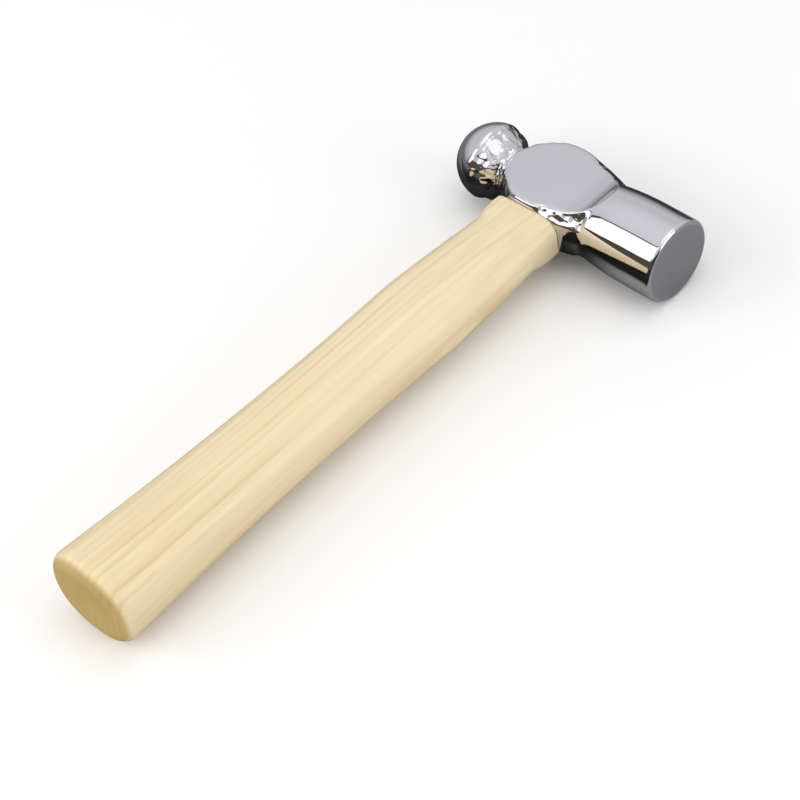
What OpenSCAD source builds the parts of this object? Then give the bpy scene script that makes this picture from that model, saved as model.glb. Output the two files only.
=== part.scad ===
// Ball peen hammer, lying on its side with one cheek up.
// +X runs along the head towards the striking face, the handle runs towards -Y.
// The origin is under the middle of the hammer, on the surface that it lies on.

/* [Head] */
// Distance from the eye's centre to the striking face
face_reach = 55; // [50:1:65]
// Diameter of the barrel behind the striking face
barrel_d = 32.6; // [31.6:0.2:33]
// Diameter of the neck between the body and the barrel
neck_d = 30; // [29:0.5:31]
// Radius of the rounded rim of the striking face
rim_r = 1.6; // [0.8:0.1:2.4]
// Largest diameter of the body, around the eye
body_d = 39.4; // [39.4:0.2:41]
// Distance from the eye's centre to the centre of the ball
ball_reach = 30.9; // [30.5:0.1:33]
// Diameter of the ball
ball_d = 30; // [28:0.5:31]
// Thickness across the two flat cheeks
cheek_t = 21; // [20.4:0.1:21.4]
// Width across the two flat seats at the ends of the eye
seat_w = 35.4; // [34.4:0.2:37]

/* [Eye] */
// Length of the eye at its waist, along the head
eye_l = 23; // [21:0.5:23.4]
// Width of the eye at its waist, from cheek to cheek
eye_w = 13.2; // [11:0.2:13.6]
// How much wider each side of the eye is at its mouths
eye_flare = 0.8; // [0.4:0.1:1]
// Gap left all round between the wood and the eye
eye_gap = 0.02; // [0:0.01:0.05]

/* [Handle] */
// Distance from the eye's centre to the end of the butt
butt_reach = 234.9; // [220:1:330]
// Handle width and thickness at the shoulder, against the head
shoulder = [28.2, 17.4]; // [16:0.1:30]
// Handle width and thickness at the swell below the shoulder
swell = [33.4, 27.4]; // [26:0.1:34]
// Handle width and thickness at the waist of the grip
waist = [31.8, 27]; // [26:0.1:33]
// Handle width and thickness at the butt
butt = [37.8, 33.4]; // [30:0.1:40]
// Distance from the eye's centre to the swell
swell_at = 78; // [60:1:90]
// Distance from the eye's centre to the waist
waist_at = 116; // [100:1:140]
// Radius of the rounded edge of the butt
butt_r = 4; // [2:0.2:6]

/* [Wedges] */
// Thickness of the wooden wedge at its top
wood_wedge_t = 3.4; // [2.6:0.1:4]
// Depth that the wooden wedge is driven in
wood_wedge_depth = 25; // [18:1:28]
// Thickness of each steel wedge at its top
steel_wedge_t = 2.6; // [1.8:0.1:3]
// Width of each steel wedge
steel_wedge_w = 10.4; // [8:0.2:11]
// Depth that each steel wedge is driven in
steel_wedge_depth = 13; // [9:0.5:16]
// Distance of each steel wedge from the eye's centre
steel_wedge_at = 5.8; // [4.5:0.1:7]
// Barbs on each side of a steel wedge
barbs = 3; // [2:1:4]

/* [Hidden] */
$fn = 96;

// Centre of the widest place of the body, a little towards the ball
body_x = -2.2;
// Half length of the body's rounded ball end, as a half ellipse
body_back = 22.3;
// Half length of the ball's back half, which is a little flattened
ball_back = 12.6;
// Angles at which the ball's back half starts, and where the neck's curve leaves
// the ball and joins the body
ball_turn = 84;
ball_leave = 50;
body_join = 35;
// How deep the neck dips below the cheeks
neck_dip = 1.1;
// How late the body narrows towards the barrel; 1 would be a straight cone
body_taper = 1.7;
// Where the body's slope ends, and where the barrel reaches its full diameter
neck_x = 21.8;
barrel_full_x = 40;
// Half length of the hollow between the body and the barrel
hollow = 1.8;
// Radius and start of the hollow that ends each cheek towards the barrel
runout_r = 19.5;
runout_x = 12;
// The cheeks start in the neck behind the ball
cheek_start = -21.4;
// Chamfer round each mouth of the eye
mouth_chamfer = 0.6;
// The wood stops a little below the head's top seat, the steel a hair below it
wood_sunk = 0.5;
steel_sunk = 0.25;
// How far off the middle the handle's broad top and bottom curves are centred
broad_offset = 12;
// How far the tenon's solid reaches down inside the handle
tenon_root = 5;
// How quickly the handle widens below the shoulder, narrows to the waist and
// widens to the butt; 1 would be straight
shoulder_curve = 1.4;
waist_curve = 1.5;
butt_curve = 1.9;
// How far the handle's corners rise past the seat, and the gap left between
// them and the head's round body
scribe_rise = 3;
scribe_gap = 0.1;
// Half thickness of a steel wedge's tip, the length of it without barbs, how
// far a barb stands out, and how much of a barb's length is its slope
wedge_tip = 0.25;
wedge_bare = 3;
barb_out = 0.18;
barb_slope = 0.8;
// Extra room that a cutting solid takes past the surface it cuts
over = 1;

seat_y = seat_w / 2;
rest_z = max(barrel_d, butt[1]) / 2;
mid_x = (face_reach - ball_reach - ball_d / 2) / 2;
mid_y = (seat_y - butt_reach) / 2;

// --- outlines -----------------------------------------------------------

function arc(cx, cr, rx, rr, from, to, n) =
    [for (i = [0 : n]) let (a = from + (to - from) * i / n) [cx + rx * cos(a), cr + rr * sin(a)]];

function curve(a, b, c, n) =
    [for (i = [0 : n]) let (t = i / n) (1 - t) * (1 - t) * a + 2 * t * (1 - t) * b + t * t * c];

// Radius of the body between its widest place and the barrel's neck
function body_r(x) =
    let (t = (x - body_x) / (neck_x - body_x)) body_d / 2 - (body_d - neck_d) / 2 * pow(t, body_taper);

// Radius of the barrel, which swells gently from the neck
function barrel_r(x) =
    let (t = min(1, (x - neck_x) / (barrel_full_x - neck_x)))
    barrel_d / 2 - (barrel_d - neck_d) / 2 * pow(1 - t, 2);

// Half of the head's outline, as [distance along the head, radius]
function head_outline() =
    let (
        ball_front = arc(-ball_reach, 0, ball_d / 2, ball_d / 2, 180, 90, 14),
        ball_rear = arc(-ball_reach, 0, ball_back, ball_d / 2, ball_turn, ball_leave, 5),
        body_rear = arc(body_x, 0, body_back, body_d / 2, 180 - body_join, 90, 10),
        neck_low = [(ball_rear[5][0] + body_rear[0][0]) / 2, cheek_t / 2 - neck_dip],
        body_front = [for (x = [2 : 3 : neck_x - 3]) [x, body_r(x)]],
        neck_in = [neck_x - hollow, body_r(neck_x - hollow)],
        neck_out = [neck_x + hollow, barrel_r(neck_x + hollow)],
        barrel = [for (x = [neck_x + 4 : 3 : barrel_full_x + 2]) [x, barrel_r(x)]],
        rim = arc(face_reach - rim_r, barrel_d / 2 - rim_r, rim_r, rim_r, 90, 0, 5)
    )
    concat(ball_front, ball_rear, curve(ball_rear[5], neck_low, body_rear[0], 5), body_rear,
           body_front, curve(neck_in, [neck_x, neck_d / 2], neck_out, 4), barrel, rim,
           [[face_reach, 0]]);

// Half of the body's outline between its ball end and the barrel, grown by a gap
function body_outline(gap) =
    let (
        rear = arc(body_x, 0, body_back, body_d / 2, 180 - body_join, 90, 10),
        front = [for (x = [2 : 3 : neck_x - 3]) [x, body_r(x)]],
        skin = [for (p = concat(rear, front)) [p[0], p[1] + gap]]
    )
    concat([[skin[0][0], 0]], skin, [[skin[len(skin) - 1][0], 0]]);

// Drop points that repeat the one before them
function cleaned(p) = [for (i = [0 : len(p) - 1]) if (i == 0 || norm(p[i] - p[i - 1]) > 0.01) p[i]];

// --- solids shared by several pieces -------------------------------------

// A solid with the eye's flared oval section between two heights
module oval_taper(y0, y1, l0, w0, l1, w1) {
    spread = (l0 - w0) / 2;
    for (side = [-1, 1])
        translate([side * spread, y0, 0])
            rotate([-90, 0, 0])
                cylinder(r1 = w0 / 2, r2 = w1 / 2, h = y1 - y0);
    translate([-spread, 0, 0])
        rotate([90, 0, 90])
            linear_extrude(2 * spread)
                polygon([[y0, -w0 / 2], [y1, -w1 / 2], [y1, w1 / 2], [y0, w0 / 2]]);
}

// The eye's space: narrowest at its waist and wider at both mouths, less a gap
module eye_space(low, high, gap) {
    w = eye_w - 2 * gap;
    l = eye_l - 2 * gap;
    flare = 2 * eye_flare / seat_y;
    oval_taper(0, high, l, w, l + flare * high, w + flare * high);
    oval_taper(low, 0, l - flare * low, w - flare * low, l, w);
}

// The wooden wedge's tapered space along the eye
module wood_wedge_space(reach) {
    top = seat_y - wood_sunk;
    half = wood_wedge_t / 2;
    tip = half / 4;
    translate([-reach, 0, 0])
        rotate([90, 0, 90])
            linear_extrude(2 * reach)
                polygon([[top + over, half], [top, half], [top - wood_wedge_depth, tip],
                         [top - wood_wedge_depth, -tip], [top, -half], [top + over, -half]]);
}

// One side of a steel wedge from its tip to its top, stepped by the barbs
function barbed_side(top, dir) =
    let (
        half = steel_wedge_t / 2,
        bottom = top - steel_wedge_depth,
        step = (steel_wedge_depth - wedge_bare) / barbs
    )
    concat([[dir * wedge_tip, bottom]],
           [for (i = [0 : barbs - 1], k = [0, 1])
               let (
                   up = wedge_bare / 2 + step * (i + k * barb_slope),
                   r = wedge_tip + (half - wedge_tip) * up / steel_wedge_depth
               )
               [dir * (r + k * barb_out), bottom + up]],
           [[dir * half, top]]);

module steel_wedge_at(x) {
    top = seat_y - steel_sunk;
    left = barbed_side(top, -1);
    right = barbed_side(top, 1);
    translate([x, 0, -steel_wedge_w / 2])
        linear_extrude(steel_wedge_w)
            polygon(concat(left, [for (i = [len(right) - 1 : -1 : 0]) right[i]]));
}

// Move a piece from the eye's centre to where the hammer lies
module lie() {
    translate([-mid_x, -mid_y, rest_z])
        children();
}

// --- handle shape ----------------------------------------------------------

// Size of the handle at a distance down from the eye's centre; k is 0 for its
// width and 1 for its thickness
function handle_size(d, k) =
    let (
        below = max(0, 1 - (d - seat_y) / (swell_at - seat_y)),
        past = min(1, max(0, (d - swell_at) / (waist_at - swell_at))),
        last = min(1, max(0, (d - waist_at) / (butt_reach - butt_r - waist_at)))
    )
    swell[k] - (swell[k] - shoulder[k]) * pow(min(1, below), shoulder_curve)
    - (swell[k] - waist[k]) * (1 - pow(1 - past, waist_curve))
    + (butt[k] - waist[k]) * pow(last, butt_curve);

// Places along the handle from the shoulder to the butt's rounded edge
function handle_places() =
    concat([for (i = [0 : 5]) seat_y + (swell_at - seat_y) * i / 6],
           [for (i = [0 : 3]) swell_at + (waist_at - swell_at) * i / 4],
           [for (i = [0 : 7]) waist_at + (butt_reach - butt_r - waist_at) * i / 8]);

// One turned form of the handle: k picks its width or thickness, and grow is
// added to its radius because its axis is off the handle's middle by as much
module turned(k, grow) {
    top = scribe_rise - seat_y;
    side = [for (d = handle_places()) [handle_size(d, k) / 2 + grow, -d]];
    edge = arc(butt[k] / 2 + grow - butt_r, butt_r - butt_reach, butt_r, butt_r, 0, -90, 5);
    rotate([-90, 0, 0])
        rotate_extrude()
            polygon(concat([[0, top], [side[0][0], top]], side, edge, [[0, -butt_reach]]));
}

// The handle below the head: what its three turned forms have in common, with
// its end flat on the seat and its corners scribed to the head's round body
module handle_body() {
    difference() {
        intersection() {
            turned(0, 0);
            translate([0, 0, -broad_offset])
                turned(1, broad_offset);
            translate([0, 0, broad_offset])
                turned(1, broad_offset);
        }
        difference() {
            rotate([0, 90, 0])
                rotate([0, 0, 90])
                    rotate_extrude()
                        polygon([for (q = body_outline(scribe_gap)) [q[1], q[0]]]);
            translate([-body_back, -seat_y - body_d, -body_d / 2])
                cube([2 * body_back, body_d, body_d]);
        }
    }
}

// --- pieces ------------------------------------------------------------------

module head() {
    color("#b9b9c2")
        lie()
            difference() {
                rotate([0, 90, 0])
                    rotate([0, 0, 90])
                        rotate_extrude()
                            polygon([for (q = cleaned(head_outline())) [q[1], q[0]]]);
                for (side = [0, 1])
                    mirror([0, 0, side])
                        cheek_cut();
                for (side = [-1, 1])
                    translate([-body_back, side > 0 ? seat_y : -seat_y - body_d, -body_d / 2])
                        cube([2 * body_back, body_d, body_d]);
                eye_space(-seat_y, seat_y, 0);
                for (side = [0, 1])
                    mirror([0, side, 0])
                        mouth_cut();
            }
}

// What is ground away to make one flat cheek, with its run-out at the barrel
module cheek_cut() {
    h = cheek_t / 2;
    outline = concat([[cheek_start, h]], arc(runout_x, h + runout_r, runout_r, runout_r, -90, -8, 8),
                     [[runout_x + runout_r, body_d], [cheek_start, body_d]]);
    translate([0, body_d, 0])
        rotate([90, 0, 0])
            linear_extrude(2 * body_d)
                polygon(outline);
}

// The chamfer round one mouth of the eye
module mouth_cut() {
    l = eye_l + 2 * eye_flare;
    w = eye_w + 2 * eye_flare;
    c = 2 * mouth_chamfer;
    oval_taper(seat_y - mouth_chamfer, seat_y, l, w, l + c, w + c);
}

module handle() {
    color("#ead6a4")
        lie()
            difference() {
                union() {
                    handle_body();
                    eye_space(-seat_y - tenon_root, seat_y - wood_sunk, eye_gap);
                }
                wood_wedge_space(eye_l);
                for (side = [-1, 1])
                    steel_wedge_at(side * steel_wedge_at);
            }
}

module wood_wedge() {
    color("#d9bc82")
        lie()
            difference() {
                intersection() {
                    wood_wedge_space(eye_l);
                    eye_space(-seat_y, seat_y - wood_sunk, eye_gap);
                }
                for (side = [-1, 1])
                    steel_wedge_at(side * steel_wedge_at);
            }
}

module steel_wedge_front() {
    color("#8d9093")
        lie()
            steel_wedge_at(steel_wedge_at);
}

module steel_wedge_rear() {
    color("#8d9093")
        lie()
            steel_wedge_at(-steel_wedge_at);
}

head();
handle();
wood_wedge();
steel_wedge_front();
steel_wedge_rear();
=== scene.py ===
import math

import bmesh
import bpy
from bpy.props import FloatProperty, FloatVectorProperty, IntProperty, PointerProperty
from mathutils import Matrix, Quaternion, Vector


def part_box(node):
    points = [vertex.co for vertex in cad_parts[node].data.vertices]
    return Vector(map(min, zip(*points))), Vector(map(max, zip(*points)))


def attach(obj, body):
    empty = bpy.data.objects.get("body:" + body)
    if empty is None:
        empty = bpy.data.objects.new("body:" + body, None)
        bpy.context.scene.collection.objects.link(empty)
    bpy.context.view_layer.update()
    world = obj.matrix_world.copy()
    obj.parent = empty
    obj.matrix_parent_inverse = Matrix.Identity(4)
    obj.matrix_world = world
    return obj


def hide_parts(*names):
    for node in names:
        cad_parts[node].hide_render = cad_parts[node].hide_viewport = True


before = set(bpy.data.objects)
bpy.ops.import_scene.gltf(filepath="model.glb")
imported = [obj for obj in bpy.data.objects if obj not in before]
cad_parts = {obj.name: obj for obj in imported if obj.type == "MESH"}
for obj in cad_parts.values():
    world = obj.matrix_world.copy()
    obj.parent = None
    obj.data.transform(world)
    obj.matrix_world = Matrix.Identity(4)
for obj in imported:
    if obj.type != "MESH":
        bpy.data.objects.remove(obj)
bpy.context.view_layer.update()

bl_info = {
    "name": "Ball Peen Hammer",
    "version": (1, 0, 0),
    "blender": (4, 5, 0),
    "location": "3D Viewport > Sidebar > Hammer",
    "description": "Makes a ball peen hammer with its finishes and a small studio",
    "category": "Add Mesh",
}

MM = 0.001


def mm(*numbers):
    """Several lengths in millimetres."""
    return tuple(number * MM for number in numbers)


HEAD_LOW, HEAD_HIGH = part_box("head")
HANDLE_LOW, HANDLE_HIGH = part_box("handle")
# The centre of the eye: the handle is centred on it across, and the head up and down
EYE = Vector((
    (HANDLE_LOW.x + HANDLE_HIGH.x) / 2,
    (HEAD_LOW.y + HEAD_HIGH.y) / 2,
    (HEAD_LOW.z + HEAD_HIGH.z) / 2,
))
BUTT_REACH = EYE.y - HANDLE_LOW.y
TENON_REACH = HANDLE_HIGH.y - EYE.y


# --- sizes and colours that a user would change ----------------------------------------


def length(name, description, default):
    """A length in metres that the sidebar shows in the scene's unit."""
    return FloatProperty(
        name=name, description=description, default=default, min=0, unit="LENGTH", precision=4
    )


def tint(name, description, default):
    """A colour, in linear light."""
    return FloatVectorProperty(
        name=name, description=description, default=default, subtype="COLOR", min=0, max=1
    )


def turned(name, description, degrees):
    """An angle, given in degrees."""
    return FloatProperty(
        name=name, description=description, default=math.radians(degrees), subtype="ANGLE"
    )


def count(name, description, default, least):
    """A whole number with a lowest value."""
    return IntProperty(name=name, description=description, default=default, min=least)


class HeadSizes(bpy.types.PropertyGroup):
    """The steel head's sizes."""

    barrel_diameter: length(
        "Barrel", "Diameter of the barrel behind the striking face", HEAD_HIGH.z - HEAD_LOW.z
    )
    neck_diameter: length("Neck", "Diameter between the body and the barrel", 30 * MM)
    body_diameter: length("Body", "Largest diameter of the body, around the eye", 39.4 * MM)
    ball_diameter: length("Ball", "Diameter of the ball", 30 * MM)
    rim_radius: length("Rim", "Radius of the striking face's rounded rim", 1.6 * MM)
    cheek_thickness: length("Cheeks", "Thickness across the two flat cheeks", 21 * MM)
    edge_softness: length("Edges", "How far the ground edges are rounded over", 1.7 * MM)
    eye_length: length("Eye length", "Length of the eye at its waist, along the head", 23 * MM)
    eye_width: length("Eye width", "Width of the eye at its waist", 13.2 * MM)
    eye_flare: length("Eye flare", "How much wider each side is at the eye's mouths", 0.8 * MM)
    forging_depth: length(
        "Forging marks", "Depth of the soft dents on surfaces that were not ground", 0.42 * MM
    )
    points_round: count("Points round", "Points in each ring of the head", 256, 32)


class HandleSizes(bpy.types.PropertyGroup):
    """The wooden handle's sizes."""

    shoulder_width: length("Shoulder width", "Width against the head", 28.2 * MM)
    shoulder_thickness: length("Shoulder thickness", "Thickness against the head", 17.4 * MM)
    swell_width: length("Swell width", "Width at the swell below the shoulder", 33.4 * MM)
    swell_thickness: length("Swell thickness", "Thickness at the swell", 27.4 * MM)
    waist_width: length("Waist width", "Width at the waist of the grip", 31.8 * MM)
    waist_thickness: length("Waist thickness", "Thickness at the waist of the grip", 27 * MM)
    butt_width: length("Butt width", "Width at the butt", 37.8 * MM)
    butt_thickness: length("Butt thickness", "Thickness at the butt", 33.4 * MM)
    swell_reach: length("Swell place", "Distance from the eye's centre to the swell", 78 * MM)
    waist_reach: length("Waist place", "Distance from the eye's centre to the waist", 116 * MM)
    butt_reach: length("Butt place", "Distance from the eye's centre to the butt's end", BUTT_REACH)
    butt_rounding: length("Butt rounding", "Radius of the butt's rounded edge", 5 * MM)
    points_round: count("Points round", "Points in each ring of the handle", 160, 32)


class WedgeSizes(bpy.types.PropertyGroup):
    """The sizes of the three wedges in the handle's end."""

    wood_thickness: length("Wooden wedge", "Thickness of the wooden wedge at its top", 3.4 * MM)
    wood_depth: length("Wooden wedge depth", "Depth that the wooden wedge is driven in", 25 * MM)
    steel_thickness: length("Steel wedge", "Thickness of a steel wedge at its top", 2.6 * MM)
    steel_width: length("Steel wedge width", "Width of a steel wedge", 10.4 * MM)
    steel_depth: length("Steel wedge depth", "Depth that a steel wedge is driven in", 13 * MM)
    steel_reach: length(
        "Steel wedge place", "Distance of each steel wedge from the eye's centre", 5.8 * MM
    )
    barbs: count("Barbs", "Barbs on each side of a steel wedge", 3, 1)


class Finishes(bpy.types.PropertyGroup):
    """The hammer's colours."""

    steel: tint("Steel", "Polished steel of the head", (0.80, 0.80, 0.83))
    face_steel: tint("Striking face", "Ground steel of the striking face", (0.64, 0.64, 0.645))
    wood_light: tint("Early wood", "Pale wood between the growth rings", (0.88, 0.745, 0.49))
    wood_dark: tint("Late wood", "Darker wood of the growth rings", (0.73, 0.54, 0.27))
    end_grain: tint("End grain", "Wood cut across its grain", (0.55, 0.375, 0.09))
    wedge_wood: tint("Wedge wood", "Hard wood of the wedge", (0.42, 0.25, 0.11))
    wedge_steel: tint("Wedge steel", "Mild steel of the barbed wedges", (0.42, 0.42, 0.43))


# --- node helpers ------------------------------------------------------------------------

# How far apart points of one seam, and doubled points, can lie; points in an oval ring
SEAM = 0.01 * MM
DOUBLE = 0.001 * MM
OVAL_POINTS = 96


class Field:
    """A node's output that can stand in a formula; each step of the formula is a Math node."""

    def __init__(self, tree, socket):
        self.tree = tree
        self.socket = socket

    def maths(self, operation, *others):
        """One step of maths on this field and up to two others."""
        node = self.tree.nodes.new("ShaderNodeMath")
        node.operation = operation
        for slot, value in zip(node.inputs, (self, *others)):
            feed(self.tree, value, slot)
        return Field(self.tree, node.outputs[0])

    def constant(self, number):
        """A number as a field of the same tree."""
        node = self.tree.nodes.new("ShaderNodeValue")
        node.outputs[0].default_value = number
        return Field(self.tree, node.outputs[0])

    def __add__(self, other):
        return self.maths("ADD", other)

    __radd__ = __add__

    def __sub__(self, other):
        return self.maths("SUBTRACT", other)

    def __rsub__(self, other):
        return self.constant(other).maths("SUBTRACT", self)

    def __mul__(self, other):
        return self.maths("MULTIPLY", other)

    __rmul__ = __mul__

    def __rtruediv__(self, other):
        return self.constant(other).maths("DIVIDE", self)

    def __truediv__(self, other):
        return self.maths("DIVIDE", other)

    def __pow__(self, other):
        return self.maths("POWER", other)

    def __mod__(self, other):
        return self.maths("FLOORED_MODULO", other)

    def __abs__(self):
        return self.maths("ABSOLUTE")

    def clamped(self):
        """This field, kept between 0 and 1."""
        return self.maths("MAXIMUM", 0.0).maths("MINIMUM", 1.0)

    def between(self, low, full, fall, high):
        """1 from full to fall, easing down to 0 at low and at high."""
        return self.smoothed(low, full) * (1 - self.smoothed(fall, high))

    def smoothed(self, low, high):
        """0 below low and 1 above high, with an eased step between."""
        node = self.tree.nodes.new("ShaderNodeMapRange")
        node.interpolation_type = "SMOOTHSTEP"
        for slot, value in zip(node.inputs, (self, low, high)):
            feed(self.tree, value, slot)
        return Field(self.tree, node.outputs[0])


def feed(tree, value, slot):
    """Give a socket its value: a number, or a link from another socket."""
    if isinstance(value, Field):
        tree.links.new(value.socket, slot)
    elif isinstance(value, bpy.types.NodeSocket):
        tree.links.new(value, slot)
    else:
        slot.default_value = value


def add_node(tree, kind, inputs=None, **settings):
    """Add a node with its settings and its inputs, given by name or by place."""
    node = tree.nodes.new(kind)
    for name, value in settings.items():
        setattr(node, name, value)
    for name, value in (inputs or {}).items():
        feed(tree, value, node.inputs[name])
    return node


def split(tree, vector):
    """The X, Y and Z of a vector, as fields."""
    node = add_node(tree, "ShaderNodeSeparateXYZ", {0: vector})
    return [Field(tree, out) for out in node.outputs]


def joined(tree, x, y, z):
    """A vector from three fields or numbers."""
    return add_node(tree, "ShaderNodeCombineXYZ", {0: x, 1: y, 2: z}).outputs[0]


def noise(tree, vector, scale, detail=2.0, roughness=0.5, distortion=0.0):
    """Noise from 0 to 1 at a number of lumps per metre."""
    inputs = {"Vector": vector, "Scale": scale, "Detail": detail}
    inputs.update({"Roughness": roughness, "Distortion": distortion})
    return Field(tree, add_node(tree, "ShaderNodeTexNoise", inputs).outputs[0])


def grey(brightness):
    """A neutral colour."""
    return (brightness, brightness, brightness)


def mixed(tree, amount, first, second):
    """A colour mixed from two."""
    node = add_node(tree, "ShaderNodeMix", data_type="RGBA")
    for slot, value in ((0, amount), (6, first), (7, second)):
        if isinstance(value, tuple):
            value = (*value, 1.0)
        feed(tree, value, node.inputs[slot])
    return node.outputs[2]


def geometry_tree(name, sizes):
    """A new geometry node tree with a geometry socket and one input for each named size."""
    tree = bpy.data.node_groups.new(name, "GeometryNodeTree")
    face = tree.interface
    face.new_socket("Geometry", in_out="INPUT", socket_type="NodeSocketGeometry")
    face.new_socket("Geometry", in_out="OUTPUT", socket_type="NodeSocketGeometry")
    for label, value in sizes.items():
        kind = "NodeSocketInt" if isinstance(value, int) else "NodeSocketFloat"
        face.new_socket(label, in_out="INPUT", socket_type=kind)
    source = tree.nodes.new("NodeGroupInput")
    fields = {label: Field(tree, source.outputs[label]) for label in sizes}
    return tree, source.outputs["Geometry"], fields


def finish_tree(tree, geometry, material):
    """End a tree: merge its seams, smooth it, realise its instances and set its material."""
    for kind, inputs in (
        ("GeometryNodeMergeByDistance", {"Distance": SEAM}),
        ("GeometryNodeSetShadeSmooth", {}),
        ("GeometryNodeRealizeInstances", {}),
        ("GeometryNodeSetMaterial", {"Material": material}),
    ):
        geometry = add_node(tree, kind, {"Geometry": geometry, **inputs}).outputs[0]
    sink = tree.nodes.new("NodeGroupOutput")
    tree.links.new(geometry, sink.inputs[0])


def grown(obj, tree, sizes):
    """Run a tree on an object and keep its result as the object's plain mesh."""
    modifier = obj.modifiers.new("shape", "NODES")
    modifier.node_group = tree
    for label, value in sizes.items():
        modifier[tree.interface.items_tree[label].identifier] = value
    settle(obj)


def settle(obj):
    """Replace an object's mesh by what its modifiers make of it, and remove them."""
    view = bpy.context.evaluated_depsgraph_get()
    mesh = bpy.data.meshes.new_from_object(obj.evaluated_get(view))
    obj.modifiers.clear()
    old = obj.data
    mesh.name = obj.name
    obj.data = mesh
    bpy.data.meshes.remove(old)


def swept_grid(tree, rows, points_round):
    """A grid to be bent into a closed form, with each point's row number and angle."""
    counts = {"Vertices X": points_round + 1, "Vertices Y": rows}
    grid = add_node(tree, "GeometryNodeMeshGrid", {"Size X": 1.0, "Size Y": 1.0, **counts})
    across, along, _ = split(tree, tree.nodes.new("GeometryNodeInputPosition").outputs[0])
    row = ((along + 0.5) * (rows - 1)).maths("ROUND")
    angle = (across + 0.5) * math.tau
    return grid.outputs["Mesh"], row, angle


def sampled(tree, stations, row):
    """The position of the station that a row follows."""
    place = tree.nodes.new("GeometryNodeInputPosition").outputs[0]
    node = add_node(tree, "GeometryNodeSampleIndex", data_type="FLOAT_VECTOR", domain="POINT")
    tree.links.new(stations, node.inputs["Geometry"])
    tree.links.new(place, node.inputs["Value"])
    feed(tree, row, node.inputs["Index"])
    return split(tree, node.outputs[0])


# --- mesh helpers --------------------------------------------------------------------------


def new_object(name, points, faces=()):
    """A mesh object at the origin, linked into the scene."""
    mesh = bpy.data.meshes.new(name)
    mesh.from_pydata([tuple(p) for p in points], [], [tuple(f) for f in faces])
    obj = bpy.data.objects.new(name, mesh)
    bpy.context.scene.collection.objects.link(obj)
    return obj


def loft(name, rings):
    """A closed solid through rings that have the same number of points, with flat ends."""
    around = len(rings[0])
    faces = []
    for i in range(len(rings) - 1):
        for j in range(around):
            k = (j + 1) % around
            low, high = i * around, (i + 1) * around
            faces.append((low + j, low + k, high + k, high + j))
    faces.append(range(around - 1, -1, -1))
    faces.append(range((len(rings) - 1) * around, len(rings) * around))
    obj = new_object(name, [p for ring in rings for p in ring], faces)
    outward(obj)
    return obj


def outward(obj):
    """Turn every face outwards."""
    mesh = bmesh.new()
    mesh.from_mesh(obj.data)
    bmesh.ops.recalc_face_normals(mesh, faces=mesh.faces)
    mesh.to_mesh(obj.data)
    mesh.free()


def cut(obj, cutters):
    """Take the cutters' solids out of an object, and remove the cutters."""
    for cutter in cutters:
        modifier = obj.modifiers.new("cut", "BOOLEAN")
        modifier.operation = "DIFFERENCE"
        modifier.solver = "EXACT"
        modifier.object = cutter
    settle(obj)
    for cutter in cutters:
        bpy.data.meshes.remove(cutter.data)
    as_triangles(obj)


def as_triangles(obj):
    """Merge an object's doubled points and split its faces into triangles."""
    mesh = bmesh.new()
    mesh.from_mesh(obj.data)
    bmesh.ops.remove_doubles(mesh, verts=mesh.verts, dist=DOUBLE)
    bmesh.ops.triangulate(mesh, faces=mesh.faces)
    mesh.to_mesh(obj.data)
    mesh.free()


def smooth_below(obj, degrees):
    """Smooth an object's shading, except across edges sharper than an angle."""
    obj.data.shade_smooth()
    obj.data.set_sharp_from_angle(angle=math.radians(degrees))


def set_down(obj, material, node):
    """Finish a piece: dress it, tie it to the frame and let it stand for its CAD node."""
    obj.data.materials.clear()
    obj.data.materials.append(material)
    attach(obj, "root")
    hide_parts(node)


def oval(reach, long, width):
    """A ring with the eye's straight-sided oval form, at a distance from the eye's centre."""
    ring = []
    for i in range(OVAL_POINTS):
        angle = math.tau * (i + 0.5) / OVAL_POINTS
        side = math.copysign((long - width) / 2, math.cos(angle))
        across = width / 2 * math.cos(angle) + side
        ring.append(EYE + Vector((across, reach, width / 2 * math.sin(angle))))
    return ring


def prism(name, outline, low, high, axis):
    """A solid with a flat outline, run along X or Z between two heights."""
    rings = []
    for height in (low, high):
        if axis == "X":
            rings.append([EYE + Vector((height, a, b)) for a, b in outline])
        else:
            rings.append([EYE + Vector((a, b, height)) for a, b in outline])
    return loft(name, rings)


# --- the head ------------------------------------------------------------------------------

# Fixed features of the head's outline, measured from the eye's centre along the head
BODY_CENTRE = -2.2 * MM
BODY_BACK = 22.3 * MM
BALL_BACK = 12.6 * MM
NECK_PLACE = 21.8 * MM
BARREL_FULL = 40 * MM
CHEEK_START = -21.4 * MM
RUNOUT_START = 12 * MM
RUNOUT_RADIUS = 19.5 * MM
MOUTH_CHAMFER = 0.6 * MM
# How much wider the cutting form gets just outside a mouth
MOUTH_SPLAY = 2 * MM
SEAT_SOFTNESS = 0.8 * MM
# Angles where the ball's flattened back starts, where the neck's curve leaves it, and
# where that curve joins the body
BALL_TURN = 88
BALL_LEAVE = 50
BODY_JOIN = 35
# How deep the neck dips below the cheeks, and how late the body narrows
NECK_DIP = 1.1 * MM
BODY_TAPER = 1.7
# Half length and depth of the hollow between the body and the barrel
HOLLOW = 1.8 * MM
HOLLOW_DEPTH = 0.1 * MM
# Where forging marks ease in and out along the head and, as the sine of the angle from
# a cheek, round it; then how strong they are at the ball, at the barrel and on the sides
MARKS_AT_BALL = mm(-32.5, -30, -16, -8)
MARKS_AT_BARREL = mm(2, 8, 20, 23)
MARKS_ON_SIDES = mm(-32.5, -30, 15, 21)
MARKS_ROUND = (0.6, 0.75, 0.86, 0.94)
SIDES_ROUND = (0.5, 0.8)
BALL_MARKS = 1.6
BARREL_MARKS = 1.8
SIDE_MARKS = 0.12
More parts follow.
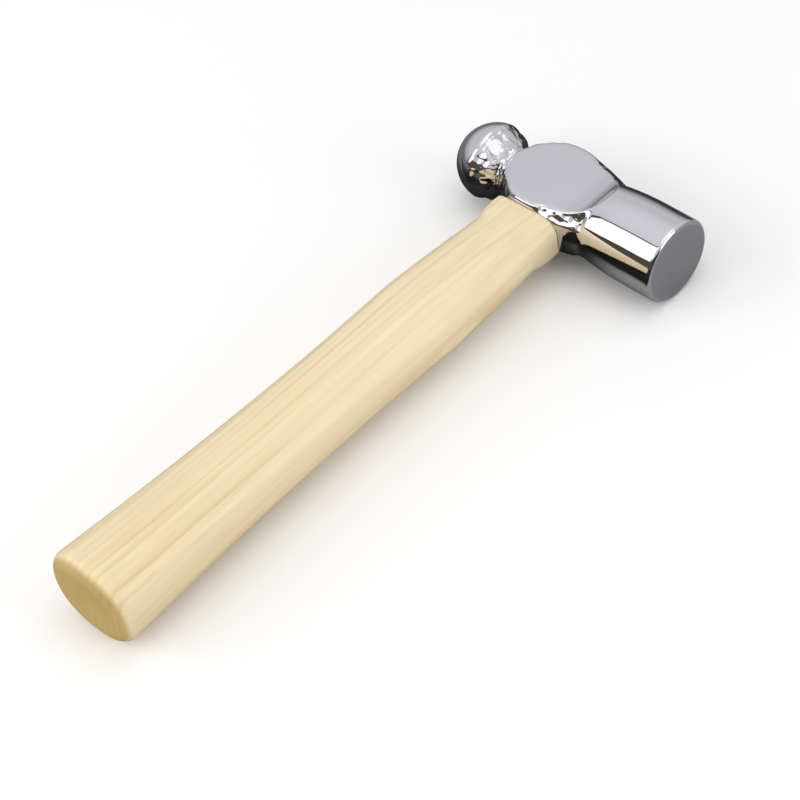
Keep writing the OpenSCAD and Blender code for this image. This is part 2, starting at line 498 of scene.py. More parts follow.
# Lumps in a metre, and how much stronger the coarse lumps are than the fine
FINE_MARKS = 420.0
COARSE_MARKS = 170.0
COARSE_SHARE = 1.6
# The low step behind the ball's polished front, and its depth
STEP = mm(-31.4, -30.4, -24, -19)
STEP_DEPTH = 0.2 * MM
# Where the cheeks' soft edges turn crisp, and how crisp
CRISP = mm(17, 21)
CRISPNESS = 0.8
# How steeply the cheeks end before the neck, and the least slope they are measured by
CHEEK_END = 3
LEAST = 0.03


def arc(centre, radius_along, radius_out, start, end, steps):
    """Points on a quarter of an ellipse round a place on the head's axis; angles in degrees."""
    points = []
    for i in range(steps + 1):
        angle = math.radians(start + (end - start) * i / steps)
        place = centre[0] + radius_along * math.cos(angle)
        points.append((place, centre[1] + radius_out * math.sin(angle)))
    return points


def bend(a, b, c, steps):
    """Points on a curve that leaves a towards b and reaches c from b."""
    points = []
    for i in range(steps + 1):
        t = i / steps
        shares = ((1 - t) ** 2, 2 * t * (1 - t), t * t)
        points.append(tuple(
            sum(share * part for share, part in zip(shares, parts)) for parts in zip(a, b, c)
        ))
    return points


def head_outline(sizes):
    """Half of the head's outline before its cheeks and seats are ground, as (place, radius)."""
    face = HEAD_HIGH.x - EYE.x
    ball = sizes.ball_diameter / 2
    ball_place = HEAD_LOW.x - EYE.x + ball
    barrel = sizes.barrel_diameter / 2
    neck = sizes.neck_diameter / 2
    body = sizes.body_diameter / 2
    rim = sizes.rim_radius

    def body_radius(x):
        t = (x - BODY_CENTRE) / (NECK_PLACE - BODY_CENTRE)
        return body - (body - neck) * t ** BODY_TAPER

    def barrel_radius(x):
        t = min(1, (x - NECK_PLACE) / (BARREL_FULL - NECK_PLACE))
        return barrel - (barrel - neck) * (1 - t) ** 2

    def run(radius, start, end, steps):
        places = [start + (end - start) * i / steps for i in range(steps + 1)]
        return [(x, radius(x)) for x in places]

    front = arc((ball_place, 0), ball, ball, 180, 90, 48)
    rear = arc((ball_place, 0), BALL_BACK, ball, BALL_TURN, BALL_LEAVE, 18)
    back = arc((BODY_CENTRE, 0), BODY_BACK, body, 180 - BODY_JOIN, 90, 40)
    throat = ((rear[-1][0] + back[0][0]) / 2, sizes.cheek_thickness / 2 - NECK_DIP)
    slope = run(body_radius, BODY_CENTRE + 0.5 * MM, NECK_PLACE - HOLLOW, 52)
    waist_out = NECK_PLACE + HOLLOW
    waist_end = (waist_out, barrel_radius(waist_out))
    waist = bend(slope[-1], (NECK_PLACE, neck - HOLLOW_DEPTH), waist_end, 16)
    swell = run(barrel_radius, waist_out, BARREL_FULL, 44)
    straight = [(BARREL_FULL + 4.5 * MM, barrel), (BARREL_FULL + 9 * MM, barrel)]
    rounded = arc((face - rim, barrel - rim), rim, rim, 90, 0, 14)
    disc = [(face, (barrel - rim) * share) for share in (0.96, 0.6, 0.3, 0)]
    points = front + rear + bend(rear[-1], throat, back[0], 16) + back + slope
    points += waist + swell + straight + rounded + disc
    kept = [points[0]]
    for point in points[1:]:
        if math.dist(point, kept[-1]) > 0.02 * MM:
            kept.append(point)
    return kept


def head_tree(sizes, material):
    """Turn the outline round the head's axis, then grind the two cheeks and the two seats flat."""
    tree, stations, size = geometry_tree("Turned and ground head", sizes)
    grid, row, angle = swept_grid(tree, size["Rows"], size["Points round"])
    along, radius, _ = sampled(tree, stations, row)
    up = angle.maths("COSINE")
    out = angle.maths("SINE")

    past = ((along - size["Run-out start"]) / size["Run-out radius"]).clamped()
    runout = size["Run-out radius"] * (1 - (1 - past * past).maths("SQRT"))
    before = (size["Cheek start"] - along).maths("MAXIMUM", 0.0) * CHEEK_END
    cheek = (size["Cheek height"] + runout + before) / abs(up).maths("MAXIMUM", LEAST)
    seat = size["Seat height"] / abs(out).maths("MAXIMUM", LEAST)

    place = joined(tree, along, radius * out, radius * up)
    at_ball = along.between(*MARKS_AT_BALL) * BALL_MARKS
    at_barrel = along.between(*MARKS_AT_BARREL) * abs(out).between(*MARKS_ROUND) * BARREL_MARKS
    on_sides = along.between(*MARKS_ON_SIDES) * abs(out).smoothed(*SIDES_ROUND) * SIDE_MARKS
    where = (at_ball + at_barrel + on_sides).maths("MINIMUM", BARREL_MARKS)
    fine = noise(tree, place, FINE_MARKS, 0.0, distortion=0.4)
    dents = fine + noise(tree, place, COARSE_MARKS, 0.0) * COARSE_SHARE
    step = along.between(*STEP) * STEP_DEPTH
    forged = radius - dents * size["Forging marks"] * where - step

    crisp = 1 - along.smoothed(*CRISP) * CRISPNESS
    ground = forged.maths("SMOOTH_MIN", cheek, size["Edge softness"] * crisp)
    ground = ground.maths("SMOOTH_MIN", seat, size["Seat softness"])
    bent = joined(tree, along + EYE.x, ground * out + EYE.y, ground * up + EYE.z)
    shaped = add_node(tree, "GeometryNodeSetPosition", {"Geometry": grid, "Position": bent})
    finish_tree(tree, shaped.outputs[0], material)
    return tree


def eye_cutter(sizes):
    """The eye's space: an oval that is narrow at its waist and chamfered at both mouths."""
    seat = (HEAD_HIGH.y - HEAD_LOW.y) / 2
    rings = []
    places = [(-seat - MM, 1), (-seat, 1), (-seat + MOUTH_CHAMFER, 0), (0, 0)]
    places += [(-reach, wide) for reach, wide in reversed(places[:-1])]
    for reach, wide in places:
        grow = 2 * sizes.eye_flare * min(abs(reach), seat) / seat + 2 * MOUTH_CHAMFER * wide
        if abs(reach) > seat:
            grow += MOUTH_SPLAY
        rings.append(oval(reach, sizes.eye_length + grow, sizes.eye_width + grow))
    return loft("eye_cutter", rings)


class HAMMER_OT_head(bpy.types.Operator):
    """Make the steel head with its ball, cheeks, barrel, striking face and eye"""

    bl_idname = "hammer.head"
    bl_label = "Head"

    def execute(self, context):
        sizes = context.scene.hammer_head
        outline = head_outline(sizes)
        material = polished_steel(context.scene.hammer_finishes)
        inputs = {
            "Rows": len(outline),
            "Points round": sizes.points_round,
            "Cheek height": sizes.cheek_thickness / 2,
            "Seat height": (HEAD_HIGH.y - HEAD_LOW.y) / 2,
            "Cheek start": CHEEK_START,
            "Run-out start": RUNOUT_START,
            "Run-out radius": RUNOUT_RADIUS,
            "Edge softness": sizes.edge_softness,
            "Seat softness": SEAT_SOFTNESS,
            "Forging marks": sizes.forging_depth,
        }
        head = new_object("hammer_head", [(x, r, 0) for x, r in outline])
        grown(head, head_tree(inputs, material), inputs)
        outward(head)
        cut(head, [eye_cutter(sizes)])
        smooth_below(head, 35)
        set_down(head, material, "head")
        return {"FINISHED"}


# --- the handle ----------------------------------------------------------------------------

SHOULDER_ROUNDING = 0.4 * MM
TENON_GAP = 0.02 * MM
WOOD_SUNK = 0.5 * MM
STEEL_SUNK = 0.25 * MM
# How deep the butt's end is dished
BUTT_DISH = 0.5 * MM
# How quickly the handle widens below the shoulder, narrows to the waist and widens to
# the butt; 1 would be straight
SHOULDER_CURVE = 1.4
WAIST_CURVE = 1.5
BUTT_CURVE = 1.9
# The section's form, where 2 is an ellipse and more is squarer; how much squarer it is
# against the head, and its corners towards the ball's cheek; and how far that reaches
SQUARENESS = 2.3
HEAD_SQUARENESS = 0.4
CORNER_SQUARENESS = 6.5
HEAD_REACH = 14 * MM
# How far from the seat the corners are scribed, and the gap left to the head's body
SCRIBE_REACH = 5 * MM
SCRIBE_GAP = 0.12 * MM
# The soft lumps of a handle that was finished by hand: depth, and lumps in a metre
HAND_FINISH = 0.18 * MM
HAND_LUMPS = 160.0


def handle_stations(sizes):
    """The rows of the handle's skin, as (reach, inset, kind) from the butt's middle to the tenon's.

    Reach is the distance from the eye's centre, towards the butt. Inset is how far the
    row is drawn in from the full section. Kind is 0 for the handle's section and 1 for
    the tenon's, and what is over 1 draws the row in to a point.
    """
    seat = (HEAD_HIGH.y - HEAD_LOW.y) / 2
    r = sizes.butt_rounding
    straight = sizes.butt_reach - r
    rows = []
    for k in (1, 0.85, 0.7, 0.5, 0.3, 0.15, 0.05):
        dish = BUTT_DISH * math.sin(math.pi / 2 * k) ** 2
        rows.append((sizes.butt_reach - dish, r, -k))
    for i in range(14, -1, -1):
        angle = math.radians(90 * i / 14)
        rows.append((straight + r * math.sin(angle), r * (1 - math.cos(angle)), 0))
    steps = 230
    low = seat + SHOULDER_ROUNDING
    for i in range(1, steps + 1):
        rows.append((straight + (low - straight) * i / steps, 0, 0))
    for i in range(1, 6):
        angle = math.radians(90 * i / 5)
        inset = SHOULDER_ROUNDING * (1 - math.cos(angle))
        rows.append((low - SHOULDER_ROUNDING * math.sin(angle), inset, 0))
    for i in range(1, 5):
        rows.append((seat, SHOULDER_ROUNDING * (1 - i / 4), i / 4))
    top = seat - WOOD_SUNK
    for i in range(1, 13):
        rows.append((seat - (seat + top) * i / 12, 0, 1))
    for k in (0.3, 0.65, 1):
        rows.append((-top, 0, 1 + k))
    return rows


def handle_tree(sizes, material):
    """Loft the handle's rule-made section along its stations and draw both ends in to a point."""
    tree, stations, size = geometry_tree("Lofted handle", sizes)
    grid, row, angle = swept_grid(tree, size["Rows"], size["Points round"])
    reach, inset, kind = sampled(tree, stations, row)
    cosine = angle.maths("COSINE")
    sine = angle.maths("SINE")

    def share(first, last):
        return ((reach - size[first]) / (size[last] - size[first])).clamped()

    to_swell = share("Seat", "Swell place")
    to_waist = share("Swell place", "Waist place")
    to_butt = share("Waist place", "Butt place")

    def across(what):
        shoulder = size[f"Shoulder {what}"]
        swell = size[f"Swell {what}"]
        waist = size[f"Waist {what}"]
        butt = size[f"Butt {what}"]
        full = swell - (swell - shoulder) * (1 - to_swell) ** SHOULDER_CURVE
        full = full - (swell - waist) * (1 - (1 - to_waist) ** WAIST_CURVE)
        return full + (butt - waist) * to_butt ** BUTT_CURVE

    at_head = 1 - (reach - size["Seat"]).smoothed(0.0, HEAD_REACH)
    corner = (sine * cosine * -CORNER_SQUARENESS).maths("MAXIMUM", 0.0)
    power = 2 / ((corner + HEAD_SQUARENESS) * at_head + SQUARENESS)

    def squared(value):
        return value.maths("SIGN") * abs(value) ** power

    x_full = (across("width") / 2 - inset) * squared(cosine)
    z_full = (across("thickness") / 2 - inset) * squared(sine)

    flare = abs(reach) / size["Seat"] * size["Eye flare"]
    wide = size["Eye width"] / 2 + flare - TENON_GAP
    spread = (size["Eye length"] - size["Eye width"]) / 2
    x_tenon = wide * cosine + spread * cosine.maths("SIGN")
    z_tenon = wide * sine

    tenon = kind.clamped()
    ends = (1 - (kind - 1).clamped()) * (1 - (kind * -1).clamped())
    x = (x_full + (x_tenon - x_full) * tenon) * ends
    z = (z_full + (z_tenon - z_full) * tenon) * ends

    # The shoulder is scribed to the head's round body, so it stands up past the seat where
    # the body narrows towards the barrel
    body = size["Body radius"]
    taper = ((x - BODY_CENTRE) / (NECK_PLACE - BODY_CENTRE)).maths("MAXIMUM", 0.0) ** BODY_TAPER
    skin = body - taper * (body - size["Neck radius"])
    side = (skin * skin - z * z).maths("MAXIMUM", 0.0).maths("SQRT")
    clear = size["Seat"] - side.maths("SMOOTH_MIN", size["Seat"], SEAT_SOFTNESS)
    at_seat = (1 - (reach - size["Seat"]).smoothed(0.0, SCRIBE_REACH)) * (1 - tenon)
    rise = (clear.maths("MAXIMUM", 0.0) - SCRIBE_GAP) * at_seat

    grain = joined(tree, x * 0.6, reach * 0.12, z * 0.6)
    worn = noise(tree, grain, HAND_LUMPS, 1.0) * size["Hand finish"] * (1 - tenon) * ends
    side = (x * x + z * z).maths("SQRT").maths("MAXIMUM", MM)
    x = x - x / side * worn
    z = z - z / side * worn

    bent = joined(tree, x + EYE.x, rise - reach + EYE.y, z + EYE.z)
    shaped = add_node(tree, "GeometryNodeSetPosition", {"Geometry": grid, "Position": bent})
    finish_tree(tree, shaped.outputs[0], material)
    return tree


class HAMMER_OT_handle(bpy.types.Operator):
    """Make the wooden handle, from its butt to the slotted tenon in the eye"""

    bl_idname = "hammer.handle"
    bl_label = "Handle"

    def execute(self, context):
        scene = context.scene
        sizes = scene.hammer_handle
        head = scene.hammer_head
        wedges = scene.hammer_wedges
        material = pale_wood(scene.hammer_finishes)
        rows = handle_stations(sizes)
        inputs = {
            "Rows": len(rows),
            "Points round": sizes.points_round,
            "Seat": (HEAD_HIGH.y - HEAD_LOW.y) / 2,
            "Swell place": sizes.swell_reach,
            "Waist place": sizes.waist_reach,
            "Butt place": sizes.butt_reach - sizes.butt_rounding,
            "Eye length": head.eye_length,
            "Eye width": head.eye_width,
            "Eye flare": head.eye_flare,
            "Body radius": head.body_diameter / 2,
            "Neck radius": head.neck_diameter / 2,
            "Hand finish": HAND_FINISH,
        }
        for part in ("shoulder", "swell", "waist", "butt"):
            for what in ("width", "thickness"):
                inputs[f"{part.capitalize()} {what}"] = getattr(sizes, f"{part}_{what}")
        handle = new_object("hammer_handle", rows)
        grown(handle, handle_tree(inputs, material), inputs)
        outward(handle)
        steel = [steel_wedge_solid(wedges, side, OVER) for side in (-1, 1)]
        cut(handle, [wood_wedge_solid(wedges, OVER), *steel])
        smooth_below(handle, 40)
        set_down(handle, material, "handle")
        return {"FINISHED"}


# --- the wedges ------------------------------------------------------------------------------

# Half the length of the wooden wedge before it is trimmed to the eye
WEDGE_HALF_LENGTH = 30 * MM
# Half thickness of a steel wedge's tip, the length of it without barbs, how far a barb
# stands out, and how much of a barb's length is its slope
TIP = 0.25 * MM
BARE = 3 * MM
BARB_OUT = 0.18 * MM
BARB_SLOPE = 0.8
# How far a cutting form stands past the end that it cuts
OVER = 1 * MM
STEEL_EDGE = 0.12 * MM


def wood_wedge_solid(sizes, over):
    """The wooden wedge's tapered solid along the eye, made longer at its top by over."""
    top = (HEAD_HIGH.y - HEAD_LOW.y) / 2 - WOOD_SUNK
    half = sizes.wood_thickness / 2
    tip = half / 4
    flank = [(top - sizes.wood_depth, tip), (top, half)]
    if over:
        flank.append((top + over, half))
    outline = [(y, -z) for y, z in flank] + list(reversed(flank))
    return prism("wood_wedge_solid", outline, -WEDGE_HALF_LENGTH, WEDGE_HALF_LENGTH, "X")


def steel_wedge_solid(sizes, side, over):
    """One barbed steel wedge across the wooden one, made longer at its top by over."""
    top = (HEAD_HIGH.y - HEAD_LOW.y) / 2 - STEEL_SUNK
    half = sizes.steel_thickness / 2
    step = (sizes.steel_depth - BARE) / sizes.barbs
    flank = [(TIP, top - sizes.steel_depth)]
    for i in range(sizes.barbs):
        for share, proud in ((0, 0), (BARB_SLOPE, BARB_OUT)):
            down = sizes.steel_depth - BARE / 2 - step * (i + share)
            flank.append((half - (half - TIP) * down / sizes.steel_depth + proud, top - down))
    flank.append((half, top))
    if over:
        flank.append((half, top + over))
    centre = side * sizes.steel_reach
    outline = [(centre + x, y) for x, y in flank] + [(centre - x, y) for x, y in reversed(flank)]
    return prism("steel_wedge_solid", outline, -sizes.steel_width / 2, sizes.steel_width / 2, "Z")


def bevelled(obj, width, segments):
    """Round an object's edges a little."""
    modifier = obj.modifiers.new("rounded", "BEVEL")
    modifier.width = width
    modifier.segments = segments
    modifier.limit_method = "ANGLE"
    modifier.angle_limit = math.radians(35)
    settle(obj)


class HAMMER_OT_wood_wedge(bpy.types.Operator):
    """Make the wooden wedge that spreads the tenon"""

    bl_idname = "hammer.wood_wedge"
    bl_label = "Wooden wedge"

    def execute(self, context):
        scene = context.scene
        head = scene.hammer_head
        wedges = scene.hammer_wedges
        seat = (HEAD_HIGH.y - HEAD_LOW.y) / 2
        wedge = wood_wedge_solid(wedges, 0)
        wedge.name = "hammer_wood_wedge"
        rings = []
        for reach in (-seat, 0, seat):
            grow = 2 * head.eye_flare * abs(reach) / seat - 2 * TENON_GAP
            rings.append(oval(reach, head.eye_length + grow, head.eye_width + grow))
        bounds = loft("eye_limit", rings)
        modifier = wedge.modifiers.new("trim", "BOOLEAN")
        modifier.operation = "INTERSECT"
        modifier.solver = "EXACT"
        modifier.object = bounds
        settle(wedge)
        bpy.data.meshes.remove(bounds.data)
        cut(wedge, [steel_wedge_solid(wedges, side, OVER) for side in (-1, 1)])
        smooth_below(wedge, 30)
        set_down(wedge, wedge_wood(scene.hammer_finishes), "wood_wedge")
        return {"FINISHED"}


class HAMMER_OT_steel_wedges(bpy.types.Operator):
    """Make the two barbed steel wedges driven across the wooden one"""

    bl_idname = "hammer.steel_wedges"
    bl_label = "Steel wedges"

    def execute(self, context):
        scene = context.scene
        material = wedge_steel(scene.hammer_finishes)
        for side, node in ((1, "steel_wedge_front"), (-1, "steel_wedge_rear")):
            wedge = steel_wedge_solid(scene.hammer_wedges, side, 0)
            wedge.name = f"hammer_{node}"
            bevelled(wedge, STEEL_EDGE, 2)
            smooth_below(wedge, 30)
            set_down(wedge, material, node)
        return {"FINISHED"}


# --- finishes ----------------------------------------------------------------------------------


def new_material(name):
    """A material with an empty surface, its tree and its shader node."""
    material = bpy.data.materials.new(name)
    material.use_nodes = True
    tree = material.node_tree
    return material, tree, tree.nodes["Principled BSDF"]


def eye_place(tree):
    """X, Y and Z measured from the eye's centre, in metres."""
    coordinates = tree.nodes.new("ShaderNodeTexCoord")
    mapping = add_node(tree, "ShaderNodeMapping", {"Vector": coordinates.outputs["Object"]})
    mapping.inputs["Location"].default_value = -EYE
    return mapping.outputs[0], split(tree, mapping.outputs[0])


def bumped(tree, shader, height, strength, distance):
    """Raise the surface by a height field."""
    inputs = {"Height": height, "Strength": strength, "Distance": distance}
    bump = add_node(tree, "ShaderNodeBump", inputs)
    tree.links.new(bump.outputs[0], shader.inputs["Normal"])


def polished_steel(finishes):
    """Mirror-polished steel, softly wavy, with a satin ground striking face."""
    material, tree, shader = new_material("polished_steel")
    place, (x, y, z) = eye_place(tree)
    radius = (y * y + z * z).maths("SQRT")
    face = HEAD_HIGH.x - EYE.x
    edge = (HEAD_HIGH.z - HEAD_LOW.z) / 2 - 1.4 * MM
    on_face = x.smoothed(face - 0.25 * MM, face - 0.1 * MM)
    on_face = on_face * (1 - radius.smoothed(edge - 0.3 * MM, edge))
    colour = mixed(tree, on_face, tuple(finishes.steel), tuple(finishes.face_steel))
    tree.links.new(colour, shader.inputs["Base Color"])
    smear = noise(tree, place, 60.0, 3.0)
    scratches = noise(tree, joined(tree, x * 0.05, y, z), 2600.0, 2.0)
    rough = smear * 0.035 + 0.03 + on_face * 0.2
    tree.links.new(rough.socket, shader.inputs["Roughness"])
    shader.inputs["Metallic"].default_value = 1.0
    waves = noise(tree, place, 55.0, 1.0)
    height = waves * 0.6 + scratches * on_face * 0.02
    bumped(tree, shader, height, 0.25, 0.25 * MM)
    return material


def wood_shading(name, light, dark, end_grain, ring_width, pith):
    """Straight-grained wood: growth rings about a pith line, fibres, pores and end grain."""
    material, tree, shader = new_material(name)
    place, (x, y, z) = eye_place(tree)
    sway = noise(tree, joined(tree, x * 14, y * 5, z * 14), 1.0, 2.0) - 0.5
    wander = noise(tree, joined(tree, x * 60, y * 16, z * 60), 1.0, 2.0) - 0.5
    px = x - pith[0] + sway * 9 * MM
    pz = z - pith[1] + wander * 3 * MM
    ring = ((px * px + pz * pz).maths("SQRT") + y * 0.012) / ring_width
    uneven = noise(tree, joined(tree, ring * 0.7, 0.0, 0.0), 1.0, 1.0)
    phase = (ring + uneven * 0.8) % 1.0
    late = phase.between(0.35, 0.86, 0.9, 1.0)
    strength = noise(tree, joined(tree, ring * 0.9 + 7.3, y * 6, 0.0), 1.0, 1.0)
    strength = strength.smoothed(0.3, 0.7)
    fibres = noise(tree, joined(tree, x * 900, y * 14, z * 900), 1.0, 3.0, 0.6)
    streaks = noise(tree, joined(tree, x * 420, y * 8, z * 420), 1.0, 2.0, 0.6)
    pores = noise(tree, joined(tree, x * 1300, y * 30, z * 1300), 1.0, 1.0)
    pores = pores.smoothed(0.64, 0.78)
    patches = noise(tree, joined(tree, x * 30, y * 12, z * 30), 1.0, 2.0)

    grain = late * strength * 0.42 + (streaks - 0.5) * 0.95 + (fibres - 0.5) * 0.35
    grain = grain + (patches - 0.5) * 0.5 + (y * -1).smoothed(40 * MM, 230 * MM) * 0.2 + 0.1
    colour = mixed(tree, grain.clamped(), light, dark)
    pore_colour = tuple(c * 0.72 for c in dark)
    colour = mixed(tree, pores * 0.16, colour, pore_colour)
    butt_end = (y * -1).smoothed(BUTT_REACH - 3.2 * MM, BUTT_REACH - 0.8 * MM)
    on_end = butt_end.maths("MAXIMUM", y.smoothed(TENON_REACH - 0.3 * MM, TENON_REACH - 0.1 * MM))
    end_tone = (late * 0.1 + (fibres - 0.5) * 0.3 + (patches - 0.5) * 1.6 + 0.3).clamped()
    end_colour = mixed(tree, end_tone, end_grain, tuple(c * 0.62 for c in end_grain))
    colour = mixed(tree, on_end * 0.85, colour, end_colour)
    tree.links.new(colour, shader.inputs["Base Color"])

    rough = fibres * 0.12 + 0.34 + pores * 0.15 + on_end * 0.2
    tree.links.new(rough.socket, shader.inputs["Roughness"])
    height = fibres * 0.5 + streaks * 0.6 - pores * 1.2 - late * 0.25
    bumped(tree, shader, height, 0.35, 0.12 * MM)
    return material, shader


def pale_wood(finishes):
    """The handle's pale wood under a thin satin lacquer."""
    material, shader = wood_shading(
        "pale_wood",
        tuple(finishes.wood_light),
        tuple(finishes.wood_dark),
        tuple(finishes.end_grain),
        3.1 * MM,
        mm(-62, 9),
    )
    shader.inputs["Coat Weight"].default_value = 0.35
    shader.inputs["Coat Roughness"].default_value = 0.24
    return material


def wedge_wood(finishes):
    """The wedge's darker hard wood, sawn across its grain."""
    tone = tuple(finishes.wedge_wood)
    light = tuple(c * 1.25 for c in tone)
    material, _ = wood_shading("wedge_wood", light, tone, tone, 1.1 * MM, mm(5, 31))
    return material


def wedge_steel(finishes):
    """Dull mild steel, scratched and dented where it was driven in."""
    material, tree, shader = new_material("wedge_steel")
    place, (x, y, z) = eye_place(tree)
    tone = tuple(finishes.wedge_steel)
    stain = noise(tree, place, 700.0, 3.0).smoothed(0.45, 0.75)
    colour = mixed(tree, stain, tone, (tone[0] * 0.55, tone[1] * 0.48, tone[2] * 0.42))
    tree.links.new(colour, shader.inputs["Base Color"])
    scratches = noise(tree, joined(tree, x * 3000, y * 400, z * 400), 1.0, 2.0)
    rough = scratches * 0.25 + 0.28 + stain * 0.2
    tree.links.new(rough.socket, shader.inputs["Roughness"])
    shader.inputs["Metallic"].default_value = 1.0
    dents = noise(tree, place, 900.0, 2.0)
    bumped(tree, shader, dents * 0.8 + scratches * 0.3, 0.5, 0.15 * MM)
    return material


# --- the stage -----------------------------------------------------------------------------------


class StageSettings(bpy.types.PropertyGroup):
    """The camera and the light."""

    azimuth: turned("Azimuth", "Camera's angle round the hammer", 50.44)
    elevation: turned("Elevation", "Camera's angle above the floor", 48.28)
    roll: turned("Roll", "Camera's turn about its line of sight", -9.56)
    distance: length("Distance", "Camera's distance from the point that it looks at", 0.821)
    focal_length: FloatProperty(
        name="Focal length", description="Camera's focal length in mm", default=108.0, min=1
    )
    dome_colour: tint("Dome", "Colour of the light from overhead", (0.97, 0.965, 1.0))
    floor_colour: tint("Floor", "Colour of the floor", (0.96, 0.96, 0.955))


# The point that the camera looks at, measured from the eye's centre
AIM = Vector((0.0209, -0.108, 0.0))


def area_light(name, offset, size, power, seen):
    """A soft white light at an offset from the eye, turned to it; seen says if steel mirrors it."""
    data = bpy.data.lights.new(name, "AREA")
    data.shape = "RECTANGLE"
    data.size, data.size_y = size
    data.energy = power
    light = bpy.data.objects.new(name, data)
    light.location = EYE + offset
    light.rotation_euler = (-offset).to_track_quat("-Z", "Y").to_euler()
    light.visible_camera = False
    light.visible_glossy = seen
    bpy.context.scene.collection.objects.link(light)


def make_camera(stage):
    """A camera at the stage's angles, with its roll."""
    data = bpy.data.cameras.new("camera")
    data.lens = stage.focal_length
    data.sensor_width = 36.0
    data.clip_start = 0.01
    camera = bpy.data.objects.new("camera", data)
    az, el = stage.azimuth, stage.elevation
    back = Vector((math.sin(az) * math.cos(el), -math.cos(az) * math.cos(el), math.sin(el)))
    camera.rotation_mode = "QUATERNION"
    camera.location = EYE + AIM + back * stage.distance
    upright = (-back).to_track_quat("-Z", "Y")
    camera.rotation_quaternion = Quaternion(back, stage.roll) @ upright
    bpy.context.scene.collection.objects.link(camera)
    bpy.context.scene.camera = camera


def make_floor(stage):
    """A plain pale floor, which shows polished steel a painted reflection of a darker surface, with
    painted shade, in place of itself.
    """
    reach = 4.0
    corners = [(x * reach, y * reach, 0) for x, y in ((-1, -1), (1, -1), (1, 1), (-1, 1))]
    floor = new_object("floor", corners, [(0, 1, 2, 3)])
    material, tree, shader = new_material("floor")
    _, (x, y, _) = eye_place(tree)
    path = tree.nodes.new("ShaderNodeLightPath")
    # Painted reflection, seen only by glossy rays: far from the head the floor is almost black,
    # turning grey towards the ball's side.
    far = mixed(tree, (x * -1).smoothed(*mm(60, 200)), (0.012, 0.011, 0.01), (0.14, 0.14, 0.15))
    # Painted shade: close to the head the reflected floor is almost black under the handle, where
    # its shadow falls, and grey under the barrel; past the ball it is a mid grey.
    near_painted_reflection_shade = mixed(tree, x.smoothed(*mm(8, 38)), grey(0.03), (0.30, 0.30, 0.31))
    near_painted_reflection_shade = mixed(tree, (x * -1).smoothed(*mm(58, 100)), near_painted_reflection_shade, (0.17, 0.17, 0.18))
    painted_reflection = mixed(tree, (y * -1).smoothed(*mm(30, 40)), near_painted_reflection_shade, far)
    # Only glossy rays get the painted reflection; the camera and the lights see the plain pale
    # floor colour.
    colour = mixed(tree, path.outputs["Is Glossy Ray"], tuple(stage.floor_colour), painted_reflection)
    tree.links.new(colour, shader.inputs["Base Color"])
    shader.inputs["Roughness"].default_value = 0.9
    shader.inputs["Specular IOR Level"].default_value = 0.1
    floor.data.materials.append(material)


# Corners of the soft white panel in front of the hammer, as directions from it
PANEL = (
    Vector((-0.74, -0.66, 0.08)),
    Vector((-0.64, -0.42, 0.66)),
    Vector((0.02, -0.44, 0.90)),
    Vector((0.20, -0.80, 0.56)),
)
# How far outside the panel's edges its dark frame ends, and how soft the edges are
FRAME = (-0.045, -0.037)
PANEL_EDGE = (-0.006, 0.006)
OVERHEAD = Vector((0.10, 0.14, 0.985)).normalized()
# The unlit corner of the room, beside the panel
CORNER = Vector((0.75, -0.66, 0.0)).normalized()


def toward(parts, direction):
    """How far a direction's parts point along a fixed direction."""
    x, y, z = parts
    return x * direction.x + y * direction.y + z * direction.z


def make_world(stage):
    """A soft dome with a white panel in a dark frame and a softer panel overhead."""
    world = bpy.data.worlds.new("studio")
    bpy.context.scene.world = world
    world.use_nodes = True
    tree = world.node_tree
    coordinates = tree.nodes.new("ShaderNodeTexCoord")
    parts = split(tree, coordinates.outputs["Generated"])
    _, out, up = parts
    brightness = up.smoothed(0.02, 0.35) * 0.24 + up.smoothed(0.5, 0.95) * 0.17 + 0.38
    inputs = {0: tuple(stage.dome_colour), "Scale": brightness}
    dome = add_node(tree, "ShaderNodeVectorMath", inputs, operation="SCALE")

    inside = None
    for i, corner in enumerate(PANEL):
        normal = corner.cross(PANEL[(i + 1) % len(PANEL)]).normalized()
        if normal.dot(sum(PANEL, Vector())) < 0:
            normal.negate()
        edge = toward(parts, normal)
        inside = edge if inside is None else inside.maths("MINIMUM", edge)
    overhead = toward(parts, OVERHEAD).smoothed(0.88, 0.93)
    unlit = toward(parts, CORNER).smoothed(0.72, 0.8) * (1 - up.smoothed(0.3, 0.5))
    bench = (out * -1).smoothed(0.5, 0.7) * (1 - up.smoothed(0.40, 0.5))
    sky = dome.outputs[0]
    for amount, colour in (
        (overhead, grey(1.2)),
        (unlit, grey(0.01)),
        (bench, (0.09, 0.075, 0.05)),
        (inside.smoothed(*FRAME), grey(0.005)),
        (inside.smoothed(*PANEL_EDGE), grey(1.35)),
    ):
        sky = mixed(tree, amount, sky, colour)

    path = tree.nodes.new("ShaderNodeLightPath")
    soft = mixed(tree, path.outputs["Is Glossy Ray"], (0.62, 0.62, 0.63), sky)
    plain = mixed(tree, path.outputs["Is Camera Ray"], soft, grey(0.95))
    tree.links.new(plain, tree.nodes["Background"].inputs["Color"])


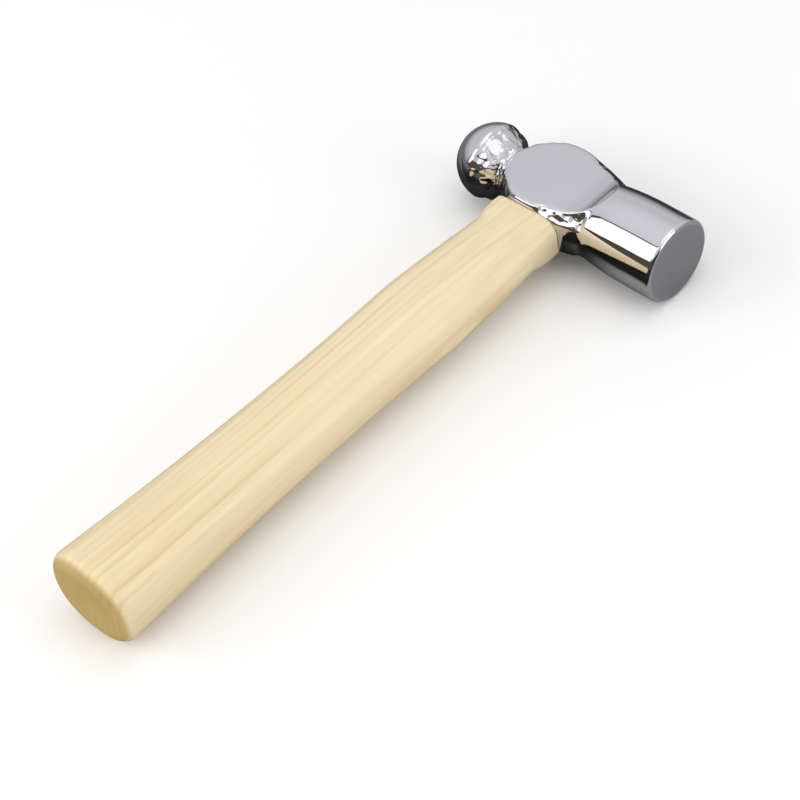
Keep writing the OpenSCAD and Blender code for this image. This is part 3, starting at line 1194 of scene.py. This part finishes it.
class HAMMER_OT_stage(bpy.types.Operator):
    """Make the camera, the floor, the dome and the soft lights"""

    bl_idname = "hammer.stage"
    bl_label = "Stage"

    def execute(self, context):
        stage = context.scene.hammer_stage
        context.scene.view_settings.view_transform = "Standard"
        make_camera(stage)
        make_floor(stage)
        make_world(stage)
        area_light("front_panel", Vector((-0.55, -0.95, 0.62)), (1.3, 0.8), 6, seen=False)
        area_light("right_panel", Vector((1.1, 0.25, 0.40)), (0.7, 0.7), 3.2, seen=True)
        area_light("top_panel", Vector((0.1, 0.1, 1.6)), (1.6, 1.6), 7, seen=False)
        return {"FINISHED"}


# --- the add-on ---------------------------------------------------------------------------------


class HAMMER_PT_sidebar(bpy.types.Panel):
    """Sizes, colours and buttons for the hammer"""

    bl_idname = "HAMMER_PT_sidebar"
    bl_label = "Ball Peen Hammer"
    bl_space_type = "VIEW_3D"
    bl_region_type = "UI"
    bl_category = "Hammer"

    def draw(self, context):
        scene = context.scene
        for group, operators in PANEL_ROWS:
            box = self.layout.box()
            settings = getattr(scene, group)
            for name in settings.__annotations__:
                box.prop(settings, name)
            for operator in operators:
                box.operator(operator)


PANEL_ROWS = (
    ("hammer_finishes", ()),
    ("hammer_head", ("hammer.head",)),
    ("hammer_handle", ("hammer.handle",)),
    ("hammer_wedges", ("hammer.wood_wedge", "hammer.steel_wedges")),
    ("hammer_stage", ("hammer.stage",)),
)

GROUPS = {
    "hammer_head": HeadSizes,
    "hammer_handle": HandleSizes,
    "hammer_wedges": WedgeSizes,
    "hammer_finishes": Finishes,
    "hammer_stage": StageSettings,
}

CLASSES = (
    *GROUPS.values(),
    HAMMER_OT_stage,
    HAMMER_OT_head,
    HAMMER_OT_handle,
    HAMMER_OT_wood_wedge,
    HAMMER_OT_steel_wedges,
    HAMMER_PT_sidebar,
)


def register():
    for cls in CLASSES:
        bpy.utils.register_class(cls)
    for name, group in GROUPS.items():
        setattr(bpy.types.Scene, name, PointerProperty(type=group))


def unregister():
    for name in GROUPS:
        delattr(bpy.types.Scene, name)
    for cls in reversed(CLASSES):
        bpy.utils.unregister_class(cls)


def main():
    register()
    bpy.ops.hammer.stage()
    bpy.ops.hammer.head()
    bpy.ops.hammer.handle()
    bpy.ops.hammer.wood_wedge()
    bpy.ops.hammer.steel_wedges()


if __name__ == "__main__":
    main()
